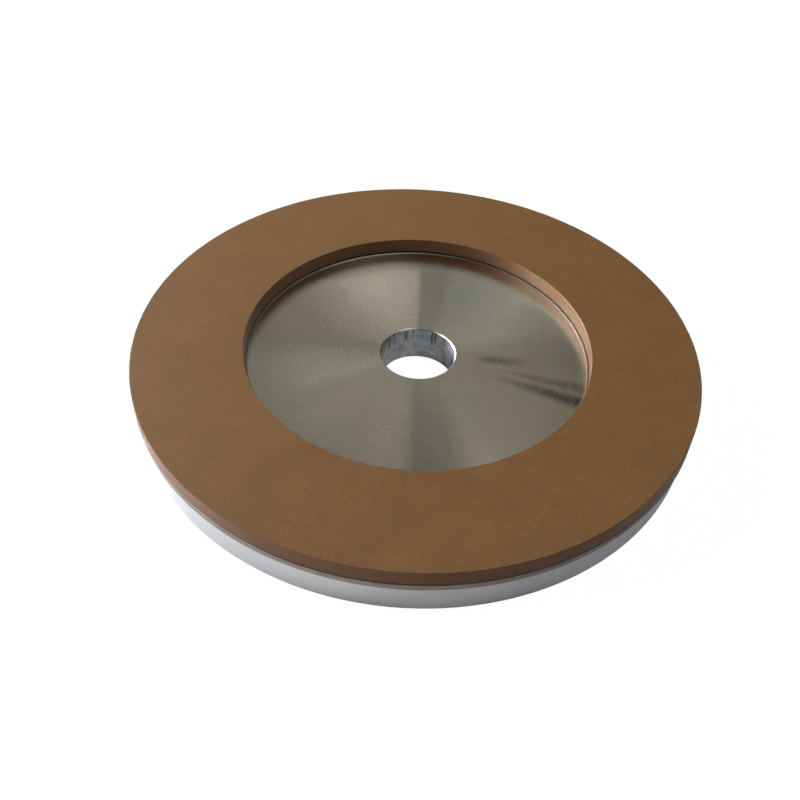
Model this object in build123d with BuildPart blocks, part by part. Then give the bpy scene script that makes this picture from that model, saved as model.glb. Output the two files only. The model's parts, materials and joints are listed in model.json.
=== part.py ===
from build123d import *

import os

# Diamond grinding wheel: a turned aluminium core that carries a flat ring of resin-bonded
# diamond abrasive, held by a thin film of adhesive.
# The origin is the centre of the back face. +Z is the wheel axis, towards the abrasive face.
# All sizes are in millimetres.

# Driving sizes
wheel_diameter = 150.0
wheel_height = 15.0
bore_diameter = 20.0
abrasive_inner_diameter = 92.6
abrasive_depth = 4.1

# Adhesive film under the abrasive, a hair short of both of its edges
film_thickness = 0.4
film_setback = 0.05

# Turned details of the core
land_height = 1.75          # full-diameter strip that the finishing cut leaves beside the joint
rim_relief = 0.8            # below that strip the rim is turned smaller by this much on radius
face_relief = 0.1           # the centre face is faced this much lower than the seat
seat_lip = 0.5              # the seat runs on this far inside the abrasive ring
bore_chamfer = 0.3
back_edge_chamfer = 0.5
land_edge_chamfer = 0.15

# Lightly broken edges of the working face
abrasive_edge_chamfer = 0.1

# Worked out from the sizes above
wheel_radius = wheel_diameter / 2
bore_radius = bore_diameter / 2
abrasive_inner_radius = abrasive_inner_diameter / 2
abrasive_base = wheel_height - abrasive_depth
seat_height = abrasive_base - film_thickness
face_height = seat_height - face_relief
seat_inner_radius = abrasive_inner_radius - seat_lip
rim_radius = wheel_radius - rim_relief
land_base = seat_height - land_height

os.makedirs("parts", exist_ok=True)


def save(piece, name):
    piece.part.label = name
    export_step(piece.part, f"parts/{name}.step")


# Core: one aluminium disc, turned all over, with a plain bore through its centre.
# Both shoulders, at the rim and at the edge of the centre face, slope at 45 degrees.
with BuildPart() as core:
    with BuildSketch(Plane.XZ):
        with BuildLine():
            Polyline(
                (bore_radius, 0),
                (rim_radius, 0),
                (rim_radius, land_base - rim_relief),
                (wheel_radius, land_base),
                (wheel_radius, seat_height),
                (seat_inner_radius, seat_height),
                (seat_inner_radius - face_relief, face_height),
                (bore_radius, face_height),
                close=True,
            )
        make_face()
    revolve(axis=Axis.Z)
    round_edges = core.edges().filter_by(GeomType.CIRCLE)
    bore_edges = round_edges.group_by(SortBy.RADIUS)[0]
    back_edge = round_edges.group_by(Axis.Z)[0].sort_by(SortBy.RADIUS)[-1]
    land_edges = round_edges.group_by(SortBy.RADIUS)[-1]
    chamfer(bore_edges, bore_chamfer)
    chamfer(back_edge, back_edge_chamfer)
    chamfer(land_edges, land_edge_chamfer)
save(core, "core")

# Adhesive film: a flat washer between the core's seat and the back of the abrasive ring.
with BuildPart() as adhesive_film:
    with BuildSketch(Plane.XY.offset(seat_height)):
        Circle(wheel_radius - film_setback)
        Circle(abrasive_inner_radius + film_setback, mode=Mode.SUBTRACT)
    extrude(amount=film_thickness)
save(adhesive_film, "adhesive_film")

# Abrasive ring: diamond grit in a resin bond. Its flat front is the working face.
with BuildPart() as abrasive_ring:
    with BuildSketch(Plane.XY.offset(abrasive_base)):
        Circle(wheel_radius)
        Circle(abrasive_inner_radius, mode=Mode.SUBTRACT)
    extrude(amount=abrasive_depth)
    working_face = abrasive_ring.faces().sort_by(Axis.Z)[-1]
    chamfer(working_face.edges(), abrasive_edge_chamfer)
save(abrasive_ring, "abrasive_ring")
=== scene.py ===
import json
import math

import bpy
from mathutils import Matrix, Vector, noise


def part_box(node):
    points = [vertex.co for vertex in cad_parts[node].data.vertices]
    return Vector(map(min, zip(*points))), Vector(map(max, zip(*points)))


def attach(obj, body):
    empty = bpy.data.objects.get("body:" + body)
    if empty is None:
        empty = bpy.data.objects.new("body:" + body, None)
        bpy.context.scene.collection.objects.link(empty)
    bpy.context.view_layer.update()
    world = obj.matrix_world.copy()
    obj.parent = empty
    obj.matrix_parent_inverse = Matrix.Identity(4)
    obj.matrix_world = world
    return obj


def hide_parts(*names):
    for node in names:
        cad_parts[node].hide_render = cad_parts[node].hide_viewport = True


MM = 0.001

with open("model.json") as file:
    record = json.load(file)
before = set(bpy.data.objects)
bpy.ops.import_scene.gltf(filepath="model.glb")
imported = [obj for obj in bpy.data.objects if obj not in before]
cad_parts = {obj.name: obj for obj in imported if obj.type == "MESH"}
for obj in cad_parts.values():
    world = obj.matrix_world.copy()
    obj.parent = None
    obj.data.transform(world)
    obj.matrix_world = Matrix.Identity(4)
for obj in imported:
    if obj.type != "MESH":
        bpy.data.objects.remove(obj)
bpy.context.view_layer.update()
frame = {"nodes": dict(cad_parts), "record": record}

core_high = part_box("core")[1]
wheel_radius = core_high.x
wheel_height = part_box("abrasive_ring")[1].z
seat_height = core_high.z


# ------------------------------------------------------------------ material building blocks

# Painted dark reflections on the right of the recess, standing in for a dark object mirrored in the
# turned face.
# Each one's direction and half width in degrees, the radii in mm over which it begins and over
# which it fades out, and how dark it is.
PAINTED_DARK_REFLECTIONS = ((-19.5, 4.8, (18, 42), (60, 70), 1.0),
             (-12.6, 4.0, (18, 42), (60, 70), 0.62),
             (-2.4, 7.0, (15, 19), (20, 33), 0.6))
PAINTED_REFLECTIONS_ABOVE = 5 * MM           # the back has the same finish, but no painted dark reflections
MIX_FIRST, MIX_SECOND = 6, 7   # the colour sockets of a Mix node


class Material:
    """A node material built round one Principled shader."""

    def __init__(self, name):
        self.material = bpy.data.materials.new(name)
        self.material.use_nodes = True
        self.tree = self.material.node_tree
        self.shader = self.tree.nodes["Principled BSDF"]
        place = self.add("ShaderNodeTexCoord").outputs["Object"]
        split = self.add("ShaderNodeSeparateXYZ", Vector=place)
        self.place = place
        self.x, self.y, self.z = (split.outputs[axis] for axis in "XYZ")
        squares = self.math("ADD", self.math("MULTIPLY", self.x, self.x),
                            self.math("MULTIPLY", self.y, self.y))
        self.radius = self.math("SQRT", squares)

    def add(self, kind, settings=None, **inputs):
        node = self.tree.nodes.new(kind)
        for key, value in (settings or {}).items():
            setattr(node, key, value)
        for key, value in inputs.items():
            self.plug(node.inputs[key.replace("_", " ")], value)
        return node

    def plug(self, socket, value):
        if isinstance(value, bpy.types.NodeSocket):
            self.tree.links.new(value, socket)
        else:
            socket.default_value = value

    def math(self, operation, first, second=0.0, clamp=False):
        node = self.add("ShaderNodeMath", {"operation": operation, "use_clamp": clamp})
        self.plug(node.inputs[0], first)
        self.plug(node.inputs[1], second)
        return node.outputs[0]

    def ramp(self, value, low, high, out_low=0.0, out_high=1.0):
        """value between low and high, mapped smoothly to out_low and out_high."""
        node = self.add("ShaderNodeMapRange", {"interpolation_type": "SMOOTHSTEP"},
                        Value=value, From_Min=low, From_Max=high, To_Min=out_low, To_Max=out_high)
        return node.outputs[0]

    def mix(self, share, first, second):
        """The first colour where share is 0, the second where it is 1."""
        node = self.add("ShaderNodeMix", {"data_type": "RGBA"})
        self.plug(node.inputs[0], share)
        self.plug(node.inputs[MIX_FIRST], first)
        self.plug(node.inputs[MIX_SECOND], second)
        return node.outputs[2]

    def grain(self, scale, detail=2.0, roughness=0.5, vector=None):
        """Cloudy noise, scale in features per metre."""
        node = self.add("ShaderNodeTexNoise", Scale=scale, Detail=detail, Roughness=roughness,
                        Vector=vector or self.place)
        return node.outputs["Fac"]

    def turned_grain(self, across, around, along, detail=2.0):
        """Noise drawn out round the axis: across and along are per metre, around per turn."""
        squash = self.math("DIVIDE", around, self.radius)
        parts = (self.math("MULTIPLY", self.x, squash),
                 self.math("MULTIPLY", self.y, squash),
                 self.math("ADD", self.math("MULTIPLY", self.radius, across),
                           self.math("MULTIPLY", self.z, along)))
        joined = self.add("ShaderNodeCombineXYZ")
        for socket, part in zip(joined.inputs, parts):
            self.plug(socket, part)
        return self.grain(1.0, detail, vector=joined.outputs[0])

    def tool_marks(self, per_metre, line, detail=2.0):
        """Even rings of noise along one line: the radius on a face, the height on a wall."""
        node = self.add("ShaderNodeTexNoise", {"noise_dimensions": "1D"},
                        W=self.math("MULTIPLY", line, per_metre), Scale=1.0, Detail=detail)
        return node.outputs["Fac"]

    def bump(self, height, depth, under=None):
        """Relief from a 0 to 1 height, depth in metres, on top of another relief if there is one."""
        node = self.add("ShaderNodeBump", Height=height, Distance=depth, Strength=1.0)
        if under is not None:
            self.plug(node.inputs["Normal"], under)
        return node.outputs[0]

    def painted_dark_reflections(self, rings):
        """Painted dark reflections on the right of the recess, broken up along the tool marks."""
        angle = self.math("ARCTAN2", self.y, self.x)
        above = self.math("GREATER_THAN", self.z, PAINTED_REFLECTIONS_ABOVE)
        marks = 0.0
        for middle, width, rise, fall, strength in PAINTED_DARK_REFLECTIONS:
            off = self.math("ABSOLUTE", self.math("SUBTRACT", angle, math.radians(middle)))
            mark = self.ramp(off, 0.0, math.radians(width), strength, 0.0)
            start = self.ramp(self.radius, rise[0] * MM, rise[1] * MM)
            end = self.ramp(self.radius, fall[0] * MM, fall[1] * MM, 1.0, 0.0)
            mark = self.math("MULTIPLY", mark, self.math("MULTIPLY", start, end))
            marks = self.math("ADD", marks, mark)
        hatching = self.turned_grain(2400, 11.0, 0.0)
        broken = self.ramp(self.math("ADD", hatching, rings), 0.75, 1.25, 0.55, 1.0)
        return self.math("MULTIPLY", self.math("MULTIPLY", marks, above), broken, clamp=True)

    def metal(self, anisotropy):
        """Bare metal turned on a lathe: its shine is drawn out across the tool marks."""
        self.shader.inputs["Metallic"].default_value = 1.0
        self.shader.inputs["Anisotropic"].default_value = anisotropy
        self.shader.inputs["Anisotropic Rotation"].default_value = 0.25
        tangent = self.add("ShaderNodeTangent", {"direction_type": "RADIAL", "axis": "Z"})
        self.plug(self.shader.inputs["Tangent"], tangent.outputs[0])

    def finish(self, colour, roughness, normal=None):
        self.plug(self.shader.inputs["Base Color"], colour)
        self.plug(self.shader.inputs["Roughness"], roughness)
        if normal is not None:
            self.plug(self.shader.inputs["Normal"], normal)
        return self.material


# ------------------------------------------------------------------ materials

def faced_aluminium(name):
    """A lathe-faced surface: fine rings, bright and dull arcs, specks, faint smears, painted dark
    reflections.
    """
    m = Material(name)
    m.metal(1.0)
    rings = m.tool_marks(2600, m.radius, 3.0)
    arcs = m.turned_grain(3800, 7.0, 0.0)
    smears = m.grain(45, 3.0)
    specks = m.grain(1700, 3.0, 0.7)
    colour = m.mix(m.ramp(rings, 0.3, 0.7), (0.735, 0.695, 0.562, 1), (0.775, 0.735, 0.60, 1))
    colour = m.mix(m.ramp(specks, 0.35, 0.65, 0.0, 0.45), colour, (0.61, 0.57, 0.46, 1))
    colour = m.mix(m.ramp(smears, 0.35, 0.75, 0.0, 0.12), colour, (0.60, 0.56, 0.44, 1))
    # painted dark reflections: near-black streaks mixed into the face's colour, standing in for a
    # dark object mirrored in the recess
    colour = m.mix(m.painted_dark_reflections(rings), colour, (0.12, 0.113, 0.09, 1))
    roughness = m.ramp(arcs, 0.25, 0.75, 0.128, 0.148)
    normal = m.bump(rings, 0.00000005)
    normal = m.bump(arcs, 0.00000005, under=normal)
    return m.finish(colour, roughness, normal)


def turned_rim(name):
    """The outside of the disc: rings round the wall, a satin shine."""
    m = Material(name)
    m.metal(0.75)
    rings = m.tool_marks(4200, m.z, 3.0)
    arcs = m.turned_grain(0.0, 9.0, 5200)
    colour = m.mix(m.ramp(rings, 0.3, 0.7), (0.765, 0.765, 0.785, 1), (0.835, 0.835, 0.86, 1))
    roughness = m.ramp(arcs, 0.25, 0.75, 0.32, 0.42)
    return m.finish(colour, roughness, m.bump(rings, 0.000001))


def dull_land(name):
    """The strip beside the joint that the finishing cut doesn't reach: a few bright specks."""
    m = Material(name)
    m.metal(0.3)
    stain = m.turned_grain(0.0, 14.0, 900, 4.0)
    fine = m.grain(5200, 2.0)
    specks = m.turned_grain(0.0, 90.0, 2400, 1.0)
    colour = m.mix(m.ramp(stain, 0.3, 0.7), (0.31, 0.27, 0.225, 1), (0.40, 0.355, 0.30, 1))
    colour = m.mix(m.ramp(specks, 0.74, 0.80), colour, (0.90, 0.90, 0.88, 1))
    roughness = m.ramp(fine, 0.3, 0.7, 0.40, 0.56)
    return m.finish(colour, roughness, m.bump(fine, 0.000004))


def bored_wall(name):
    """The bore: bluish, stained olive here and there, with dark drag marks from its mouth down."""
    m = Material(name)
    m.metal(0.4)
    streaks = m.turned_grain(0.0, 8.0, 45, 3.0)
    patches = m.turned_grain(0.0, 4.0, 420, 3.0)
    depth = m.ramp(m.z, seat_height - 9.0 * MM, seat_height, -0.10, 0.06)
    marks = m.ramp(m.math("ADD", streaks, depth), 0.56, 0.66)
    stains = m.turned_grain(0.0, 3.0, 60, 2.0)
    clean = m.mix(m.ramp(stains, 0.42, 0.58), (0.60, 0.65, 0.74, 1), (0.70, 0.68, 0.60, 1))
    colour = m.mix(m.ramp(patches, 0.3, 0.7), (0.39, 0.40, 0.41, 1), clean)
    colour = m.mix(marks, colour, (0.13, 0.13, 0.14, 1))
    roughness = m.ramp(patches, 0.3, 0.7, 0.26, 0.44)
    return m.finish(colour, roughness, m.bump(patches, 0.000010))


def bright_edge(name):
    """Freshly cut chamfers."""
    m = Material(name)
    m.metal(0.3)
    arcs = m.turned_grain(2400, 12.0, 2400)
    colour = m.mix(m.ramp(arcs, 0.3, 0.7), (0.88, 0.88, 0.87, 1), (0.96, 0.96, 0.95, 1))
    return m.finish(colour, m.ramp(arcs, 0.3, 0.7, 0.30, 0.42), m.bump(arcs, 0.000002))


def diamond_resin(name, dark, pale, roughness, gloss, bloom):
    """Brown resin packed with fine grit, softly mottled; bloom is the dusty sheen on its walls."""
    m = Material(name)
    m.shader.inputs["Specular IOR Level"].default_value = gloss
    m.shader.inputs["Sheen Weight"].default_value = bloom
    m.shader.inputs["Sheen Roughness"].default_value = 0.4
    m.shader.inputs["Sheen Tint"].default_value = (1.0, 0.93, 0.86, 1)
    cloud = m.grain(90, 4.0, 0.6)
    grit = m.grain(1500, 3.0, 0.7)
    dust = m.grain(7000, 1.0)
    deep = [0.74 * channel for channel in dark[:3]] + [1]
    colour = m.mix(m.ramp(cloud, 0.3, 0.7), dark, pale)
    colour = m.mix(m.ramp(grit, 0.35, 0.65, 0.0, 0.50), colour, deep)
    colour = m.mix(m.ramp(dust, 0.66, 0.74, 0.0, 0.30), colour, (0.36, 0.24, 0.12, 1))
    shine = m.ramp(grit, 0.3, 0.7, *roughness)
    normal = m.bump(grit, 0.00004)
    normal = m.bump(dust, 0.00002, under=normal)
    return m.finish(colour, shine, normal)


def dark_adhesive(name):
    """The edge of the bond: near black and lumpy."""
    m = Material(name)
    lumps = m.turned_grain(0.0, 60.0, 3000, 3.0)
    colour = m.mix(m.ramp(lumps, 0.3, 0.7), (0.010, 0.007, 0.005, 1), (0.030, 0.021, 0.015, 1))
    return m.finish(colour, m.ramp(lumps, 0.3, 0.7, 0.35, 0.6), m.bump(lumps, 0.00003))


# ------------------------------------------------------------------ pieces turned about the axis

TURN_STEPS = 720
GROOVED_STEPS = 360            # enough round a piece that has hundreds of grooves
CORNER_STEPS = 4
METAL_EASING = 0.06 * MM       # how far from a corner its rounding starts
RESIN_EASING = 0.10 * MM


def cad_outline(node):
    """The corners (radius, height) of a turned CAD node, in order round its section."""
    corners = set()
    for vertex in frame["nodes"][node].data.vertices:
        radius = math.hypot(vertex.co.x, vertex.co.y)
        corners.add((round(radius / MM, 2), round(vertex.co.z / MM, 2)))
    middle_r = (min(r for r, z in corners) + max(r for r, z in corners)) / 2
    middle_z = (min(z for r, z in corners) + max(z for r, z in corners)) / 2
    ordered = sorted(corners, key=lambda c: math.atan2(c[1] - middle_z, c[0] - middle_r))
    return [Vector((r * MM, z * MM)) for r, z in ordered]


def eased(outline, easing):
    """The outline with each corner drawn as a short curve: a list of (point, normal)."""
    drawn = []
    for index, corner in enumerate(outline):
        before = outline[index - 1] - corner
        after = outline[(index + 1) % len(outline)] - corner
        reach = min(easing, before.length * 0.4, after.length * 0.4)
        start = corner + before.normalized() * reach
        end = corner + after.normalized() * reach
        for step in range(CORNER_STEPS + 1):
            t = step / CORNER_STEPS
            point = start * (1 - t) ** 2 + corner * 2 * t * (1 - t) + end * t ** 2
            along = (corner - start) * (1 - t) + (end - corner) * t
            drawn.append((point, Vector((along.y, -along.x)).normalized()))
    return drawn


GROOVE_PITCH = 0.2 * MM
GROOVE_LEAN = 0.10             # slope of a groove's flanks, as rise over run
GROOVE_UNEVEN = 0.3            # how much that slope varies from groove to groove
LONG_RUN = 10 * MM


def grooved(section, height):
    """Adds the turning grooves to the long flat run at one height: flanks that lean by turns."""
    drawn = []
    for index, (point, normal) in enumerate(section):
        drawn.append((point, normal))
        following = section[(index + 1) % len(section)][0]
        run = following - point
        if run.length < LONG_RUN or abs(point.y - height) + abs(run.y) > 0.001 * MM:
            continue
        count = 2 * round(run.length / GROOVE_PITCH)
        for step in range(1, count):
            uneven = 1 + GROOVE_UNEVEN * noise.noise(Vector((step * 0.9, 0.5, 0.5)))
            lean = GROOVE_LEAN * uneven * (1 if step % 2 else -1)
            drawn.append((point + run * step / count, Vector((lean, 1)).normalized()))
    return drawn


def turned_piece(name, node, section, steps, finish_names, finish_of, wear=None):
    """Turns a section about the axis into a fine mesh, in place of a CAD node."""
    count = len(section)
    points, normals, faces, finishes = [], [], [], []
    for turn in range(steps):
        angle = 2 * math.pi * turn / steps
        cosine, sine = math.cos(angle), math.sin(angle)
        for point, normal in section:
            radius, height = wear(point, normal, angle) if wear else point
            points.append((radius * cosine, radius * sine, height))
            normals.append((normal.x * cosine, normal.x * sine, normal.y))
        after = (turn + 1) % steps
        for k in range(count):
            following = (k + 1) % count
            faces.append((turn * count + k, after * count + k,
                          after * count + following, turn * count + following))
            finishes.append(finish_of(section[k][0], section[following][0]))
    mesh = bpy.data.meshes.new(name)
    mesh.from_pydata(points, [], faces)
    mesh.polygons.foreach_set("material_index", finishes)
    mesh.polygons.foreach_set("use_smooth", [True] * len(faces))
    mesh.normals_split_custom_set_from_vertices(normals)
    for finish in finish_names:
        mesh.materials.append(finish)
    piece = bpy.data.objects.new(name, mesh)
    bpy.context.scene.collection.objects.link(piece)
    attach(piece, "root")
    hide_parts(node)


LEVEL = 0.01 * MM              # heights nearer than this are the same
LAND_CHAMFER = 0.2 * MM        # the land's chamfered edge is no wider than this
LAND_STEP = 0.3 * MM           # the land stands out of the rim by more than this
BACK_CHAMFER = 0.6 * MM        # the rim's chamfer at the back is no wider than this

# The core's surfaces, told apart by where they are and which way they run.
FACE, RIM, LAND, BORE, EDGE = range(5)
core_outline = cad_outline("core")
land_low = min(p.y for p in core_outline if p.x > wheel_radius - LAND_CHAMFER)
rim_outline = max(p.x for p in core_outline if p.y < land_low - BACK_CHAMFER)
centre_mount = next(m for m in frame["record"]["mounts"] if m["name"] == "centre_face")
centre_height = centre_mount["pos_m"][2]
centre_face_edges = [p.x for p in core_outline if abs(p.y - centre_height) < LEVEL]
mouth_radius, recess_radius = min(centre_face_edges), max(centre_face_edges)


def core_finish(start, end):
    """Which surface of the core the stretch of its section from start to end belongs to."""
    middle = (start + end) / 2
    run, rise = abs(end.x - start.x), abs(end.y - start.y)
    if middle.x > rim_outline + LAND_STEP and middle.y > land_low:
        return LAND
    if middle.x < mouth_radius:
        return BORE if rise > 3 * run else EDGE
    if middle.x > rim_outline - BACK_CHAMFER and middle.y < land_low:
        return RIM
    if middle.x > recess_radius and middle.y > centre_height - LEVEL:
        return LAND
    return FACE


turned_piece(
    "core_turned", "core",
    grooved(eased(core_outline, METAL_EASING), centre_height), GROOVED_STEPS,
    [faced_aluminium("faced_aluminium"), turned_rim("turned_rim"), dull_land("dull_land"),
     bored_wall("bored_wall"), bright_edge("bright_edge")],
    core_finish)

turned_piece(
    "adhesive_bead", "adhesive_film",
    eased(cad_outline("adhesive_film"), METAL_EASING), TURN_STEPS,
    [dark_adhesive("dark_adhesive")], lambda start, end: 0)

# The abrasive's surfaces: the lapped front, and the two walls, which the turning left smoother.
WORKING_FACE, OUTER_WALL, INNER_WALL = range(3)
ring_outline = cad_outline("abrasive_ring")
ring_bore = min(p.x for p in ring_outline)
WALL_SLACK = 0.06 * MM         # how far from a wall a stretch still counts as part of it
WORN_DEPTH = 0.45 * MM         # the wear reaches this far down from the working face
FINE_CRUMBLE, COARSE_CRUMBLE = 0.05 * MM, 0.10 * MM


def ring_finish(start, end):
    """Which surface of the abrasive the stretch of its section from start to end belongs to."""
    middle = (start + end) / 2
    if middle.x > wheel_radius - WALL_SLACK:
        return OUTER_WALL
    if middle.x < ring_bore + WALL_SLACK:
        return INNER_WALL
    return WORKING_FACE


def worn_edge(point, normal, angle):
    """Crumbles the two edges of the working face a little, unevenly round the wheel."""
    radius, height = point
    if height < wheel_height - WORN_DEPTH:
        return radius, height
    around = Vector((math.cos(angle), math.sin(angle), 0))
    fine = noise.noise(around * 95)
    coarse = noise.noise(around * 21 + Vector((7, 3, 1)))
    crumble = max(0.0, fine) * FINE_CRUMBLE + max(0.0, coarse - 0.2) * COARSE_CRUMBLE
    outward = 1 if radius > (wheel_radius + ring_bore) / 2 else -1
    return radius - outward * crumble, height - crumble * 0.5 * abs(normal.x)


turned_piece(
    "abrasive_layer", "abrasive_ring",
    eased(ring_outline, RESIN_EASING), TURN_STEPS,
    [diamond_resin("lapped_resin", (0.203, 0.097, 0.0305, 1), (0.230, 0.111, 0.0365, 1),
                   (0.50, 0.66), 0.32, 0.0),
     diamond_resin("turned_resin", (0.230, 0.100, 0.046, 1), (0.262, 0.115, 0.053, 1),
                   (0.32, 0.42), 0.15, 0.15),
     diamond_resin("bored_resin", (0.215, 0.087, 0.029, 1), (0.240, 0.099, 0.033, 1),
                   (0.35, 0.50), 0.9, 0.2)],
    ring_finish, worn_edge)


# ------------------------------------------------------------------ camera

CAMERA_ELEVATION = math.radians(44.49)
CAMERA_ROLL = math.radians(3.98)
CAMERA_LENS = 41.63            # mm on a 36 mm wide sensor
CAMERA_SHIFT = (-0.0302, 0.003)
# The middle of the working face as the camera sees it: right, down and ahead.
WHEEL_FROM_CAMERA = Vector((-1.43, -16.72, 247.60)) * MM


def place_camera():
    """Looks down on the wheel from the front, a little rolled."""
    sine, cosine = math.sin(CAMERA_ELEVATION), math.cos(CAMERA_ELEVATION)
    right, down, ahead = Vector((1, 0, 0)), Vector((0, -sine, -cosine)), Vector((0, cosine, -sine))
    roll_cos, roll_sin = math.cos(CAMERA_ROLL), math.sin(CAMERA_ROLL)
    right, down = right * roll_cos - down * roll_sin, right * roll_sin + down * roll_cos
    offset = WHEEL_FROM_CAMERA
    place = Vector((0, 0, wheel_height)) - right * offset.x - down * offset.y - ahead * offset.z
    data = bpy.data.cameras.new("camera")
    data.lens = CAMERA_LENS
    data.sensor_width = 36.0
    data.shift_x, data.shift_y = CAMERA_SHIFT
    data.clip_start, data.clip_end = 0.01, 100.0
    camera = bpy.data.objects.new("camera", data)
    turn = Matrix((right, -down, -ahead)).transposed().to_4x4()
    camera.matrix_world = Matrix.Translation(place) @ turn
    bpy.context.scene.collection.objects.link(camera)
    bpy.context.scene.camera = camera


place_camera()


# ------------------------------------------------------------------ light and floor

def area_light(name, centre, size, radiance, colour, aim):
    """A soft rectangular light; radiance is how bright its surface is, white paper being about 1."""
    data = bpy.data.lights.new(name, "AREA")
    data.shape = "RECTANGLE"
    data.size, data.size_y = size
    data.energy = 4 * data.size * data.size_y * radiance
    data.color = colour
    light = bpy.data.objects.new(name, data)
    light.location = centre
    light.rotation_mode = "QUATERNION"
    light.rotation_quaternion = (Vector(aim) - Vector(centre)).to_track_quat("-Z", "Y")
    light.visible_camera = False
    bpy.context.scene.collection.objects.link(light)


def softbox(name, azimuth, elevation, size, radiance, colour):
    """A light a metre from the wheel; azimuth is counted from +X towards +Y."""
    turn, lift = math.radians(azimuth), math.radians(elevation)
    centre = (math.cos(lift) * math.cos(turn), math.cos(lift) * math.sin(turn), math.sin(lift))
    area_light(name, centre, size, radiance, colour, (0, 0, wheel_height))


PANEL_DISTANCE = 0.3           # metres behind the axis
WARM, PALE, COOL = (1.0, 0.97, 0.86), (1.0, 0.97, 0.89), (0.90, 0.95, 0.95)


def panel(name, across, up, radiance, colour):
    """A dim upright panel behind the wheel, mirrored by the recess; its edges draw the fans."""
    (left, right), (low, high) = across, up
    x, z = (left + right) / 2 * MM, (low + high) / 2 * MM
    area_light(name, (x, PANEL_DISTANCE, z), ((right - left) * MM, (high - low) * MM),
               radiance, colour, (x, 0, z))


# Sizes of the softboxes in metres.
PANE, CEILING_PATCH, WALL_PATCH = (0.30, 0.17), (0.35, 0.35), (0.34, 0.34)
softbox("window_low", 140, 15, PANE, 25.0, (0.90, 0.98, 1.0))
softbox("window_bright", 160, 15, PANE, 60.0, (1.0, 1.0, 1.0))
softbox("window_high", 150, 28, PANE, 6.3, (0.80, 0.95, 1.0))
softbox("window_left", 190, 28, PANE, 14.4, (1.0, 1.0, 1.0))
softbox("ceiling", 0, 75, CEILING_PATCH, 5.35, (1.0, 1.0, 1.0))
softbox("far_wall_left", 105, 50, WALL_PATCH, 0.093, (1.0, 1.0, 1.0))
softbox("far_wall_right", 75, 50, WALL_PATCH, 0.075, (1.0, 0.96, 0.9))

# Panel edges in millimetres: across the view, then up from the bench.
FAR_LEFT, LEFT, MIDDLE, GAP, RIGHT, FAR_RIGHT = (
    (-170, -80), (-80, -38), (-38, -6.5), (-6.5, 14), (14, 40), (40, 85))
LOW, EYE, HIGH = (60, 150), (150, 250), (250, 480)
panel("panel_far_left", FAR_LEFT, EYE, 0.16, WARM)
panel("panel_far_left_high", FAR_LEFT, HIGH, 0.105, PALE)
panel("panel_left_low", LEFT, LOW, 0.95, COOL)
panel("panel_left", LEFT, EYE, 0.325, PALE)
panel("panel_left_high", LEFT, HIGH, 0.10, WARM)
panel("panel_middle_low", MIDDLE, LOW, 0.70, COOL)
panel("panel_middle", MIDDLE, EYE, 0.34, PALE)
panel("panel_middle_high", MIDDLE, HIGH, 0.18, WARM)
panel("panel_gap", GAP, EYE, 0.255, COOL)
panel("panel_gap_high", GAP, HIGH, 0.07, PALE)
panel("panel_right", RIGHT, EYE, 0.34, COOL)
panel("panel_far_right", FAR_RIGHT, EYE, 0.38, COOL)
panel("panel_far_right_high", FAR_RIGHT, HIGH, 0.275, PALE)


def plain_material(name, colour, glow):
    """A flat studio surface: colour is what it bounces, glow is what it gives off by itself."""
    material = bpy.data.materials.new(name)
    material.use_nodes = True
    shader = material.node_tree.nodes["Principled BSDF"]
    shader.inputs["Base Color"].default_value = (colour, colour, colour, 1)
    shader.inputs["Roughness"].default_value = 1.0
    shader.inputs["Specular IOR Level"].default_value = 0.0
    shader.inputs["Emission Color"].default_value = (1, 1, 1, 1)
    shader.inputs["Emission Strength"].default_value = glow
    return material


def stage_piece(name, points, faces, material, seen):
    """Part of the studio: either what the camera sees, or what lights and reflections meet."""
    mesh = bpy.data.meshes.new(name)
    mesh.from_pydata(points, [], faces)
    mesh.materials.append(material)
    piece = bpy.data.objects.new(name, mesh)
    bpy.context.scene.collection.objects.link(piece)
    piece.visible_camera = seen
    piece.visible_diffuse = not seen
    piece.visible_glossy = not seen
    piece.visible_transmission = seen
    piece.visible_shadow = False


STAGE_STEPS = 64
FLOOR_RADIUS, BOUNCE_RADIUS = 6.0, 3.0
FLOOR_LEVEL, BOUNCE_LEVEL = -0.02 * MM, -0.04 * MM


def ring_of_points(radius, height):
    """Points evenly round the axis, for the round pieces of the studio."""
    turns = [2 * math.pi * k / STAGE_STEPS for k in range(STAGE_STEPS)]
    return [(radius * math.cos(turn), radius * math.sin(turn), height) for turn in turns]


def studio():
    """A pale floor, a white backdrop all round it, and the bounce of the floor under the wheel."""
    disc = [list(range(STAGE_STEPS))]
    stage_piece("floor", ring_of_points(FLOOR_RADIUS, FLOOR_LEVEL), disc,
                plain_material("pale_floor", 0.05, 0.98), seen=True)
    stage_piece("floor_bounce", ring_of_points(BOUNCE_RADIUS, BOUNCE_LEVEL), disc,
                plain_material("floor_bounce", 0.85, 0.0), seen=False)
    wall = [(k, (k + 1) % STAGE_STEPS, (k + 1) % STAGE_STEPS + STAGE_STEPS, k + STAGE_STEPS)
            for k in range(STAGE_STEPS)]
    lid = [list(range(STAGE_STEPS, 2 * STAGE_STEPS))]
    foot = ring_of_points(FLOOR_RADIUS, FLOOR_LEVEL)
    top = ring_of_points(FLOOR_RADIUS, FLOOR_RADIUS)
    stage_piece("backdrop", foot + top, wall + lid, plain_material("backdrop", 0.0, 1.0),
                seen=True)


studio()


def dim_room(strength):
    """A faint even light from all round, so that no reflection is quite black."""
    world = bpy.data.worlds.new("room")
    world.use_nodes = True
    background = world.node_tree.nodes["Background"]
    background.inputs["Color"].default_value = (1, 1, 1, 1)
    background.inputs["Strength"].default_value = strength
    bpy.context.scene.world = world


dim_room(0.015)

bpy.context.scene.view_settings.view_transform = "Standard"
